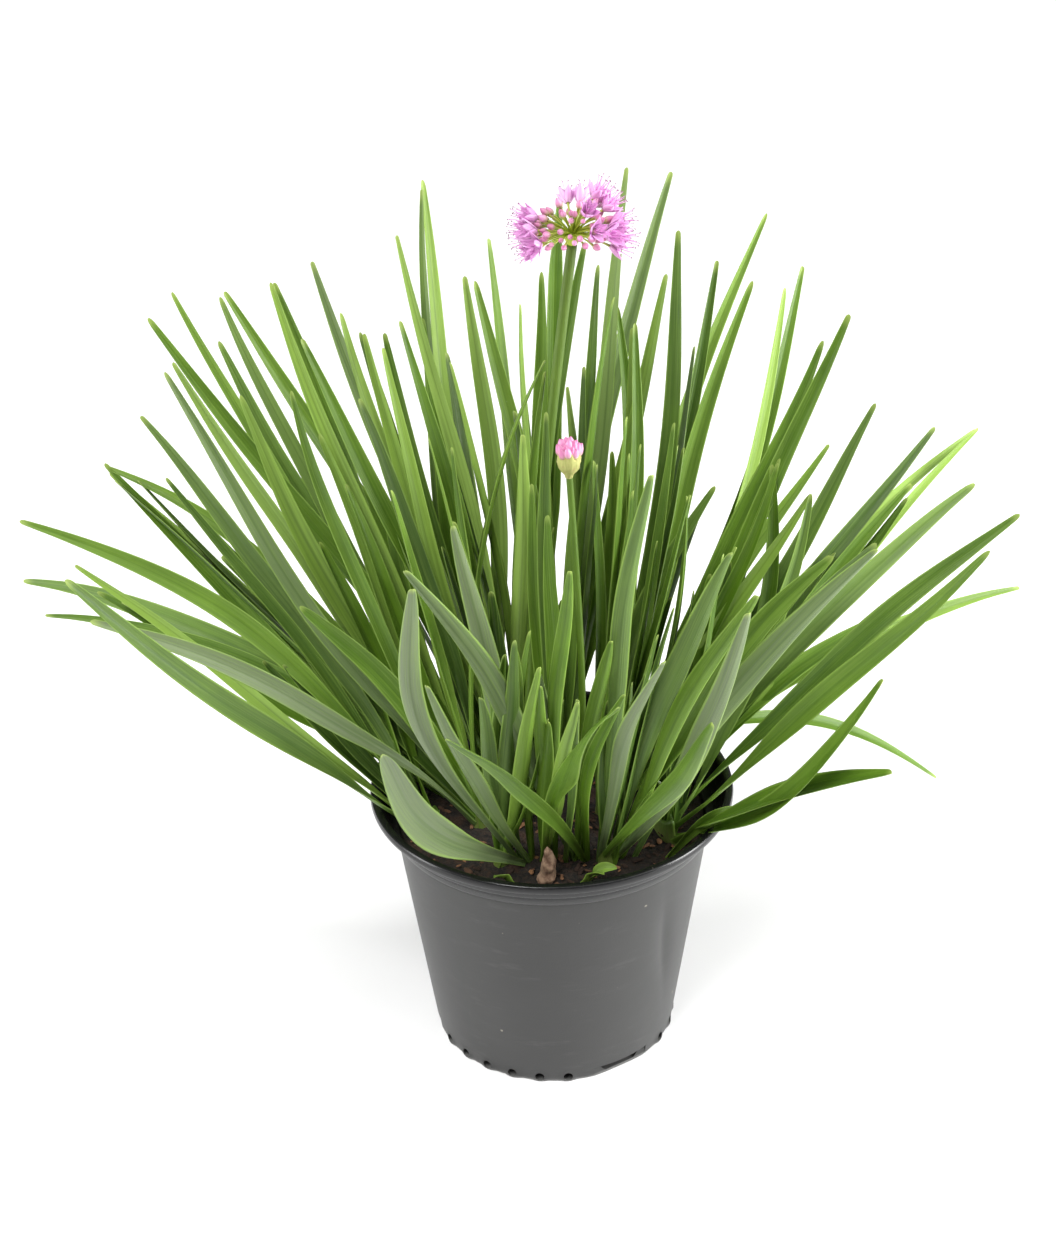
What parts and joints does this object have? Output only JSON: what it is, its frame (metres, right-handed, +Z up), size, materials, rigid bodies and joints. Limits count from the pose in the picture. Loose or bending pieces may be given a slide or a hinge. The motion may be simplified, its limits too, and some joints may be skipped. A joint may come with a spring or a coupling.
{
  "type": "potted ornamental onion",
  "caption": "Round black nursery pot of potting mix with a full clump of green strap leaves, an open pink umbel on a tall stalk and a closed bud on a shorter one.",
  "frame": {"origin": "centre of the pot's flat underside, on the surface that it stands on", "axes": "+Z up along the pot's axis; the plant's best side faces -Y; +X to the viewer's right"},
  "size_m": [0.497, 0.3021, 0.4181],
  "materials": {
    "pot_plastic": "satin",
    "potting_mix": "matte",
    "leaf": "satin",
    "tepals": "matte",
    "umbel_stalks": "satin",
    "scape": "satin",
    "spathe": "matte",
    "dry_sheath": "matte"
  },
  "bodies": {
    "root": {"bud_head": "spathe", "bud_scape": "scape", "dry_stump": "dry_sheath", "floret_1": "tepals", "floret_2": "tepals", "floret_3": "tepals", "floret_4": "tepals", "floret_5": "tepals", "floret_6": "tepals", "floret_7": "tepals", "floret_8": "tepals", "flower_scape": "scape", "leaf_front_1": "leaf", "leaf_front_2": "leaf", "leaf_front_left_1": "leaf", "leaf_front_left_2": "leaf", "leaf_front_left_3": "leaf", "leaf_front_right_1": "leaf", "leaf_front_right_2": "leaf", "leaf_front_right_3": "leaf", "leaf_front_right_4": "leaf", "leaf_front_right_5": "leaf", "leaf_inner_left_1": "leaf", "leaf_inner_left_2": "leaf", "leaf_inner_left_3": "leaf", "leaf_left_1": "leaf", "leaf_left_2": "leaf", "leaf_left_3": "leaf", "leaf_left_rear_1": "leaf", "leaf_left_rear_2": "leaf", "leaf_left_rear_3": "leaf", "leaf_mid_left_1": "leaf", "leaf_mid_left_2": "leaf", "leaf_mid_left_3": "leaf", "leaf_mid_left_4": "leaf", "leaf_mid_right_1": "leaf", "leaf_mid_right_2": "leaf", "leaf_mid_right_3": "leaf", "leaf_rear_1": "leaf", "leaf_rear_2": "leaf", "leaf_rear_3": "leaf", "leaf_rear_4": "leaf", "leaf_rear_left_1": "leaf", "leaf_rear_left_2": "leaf", "leaf_rear_right_1": "leaf", "leaf_rear_right_2": "leaf", "leaf_rear_right_3": "leaf", "leaf_rear_right_4": "leaf", "leaf_right_1": "leaf", "leaf_right_2": "leaf", "leaf_right_3": "leaf", "leaf_right_4": "leaf", "leaf_right_5": "leaf", "leaf_right_low_1": "leaf", "leaf_right_rear_1": "leaf", "leaf_right_rear_2": "leaf", "leaf_right_rear_3": "leaf", "pot": "pot_plastic", "potting_mix": "potting_mix", "umbel_stalks": "umbel_stalks"}
  },
  "joints": []
}
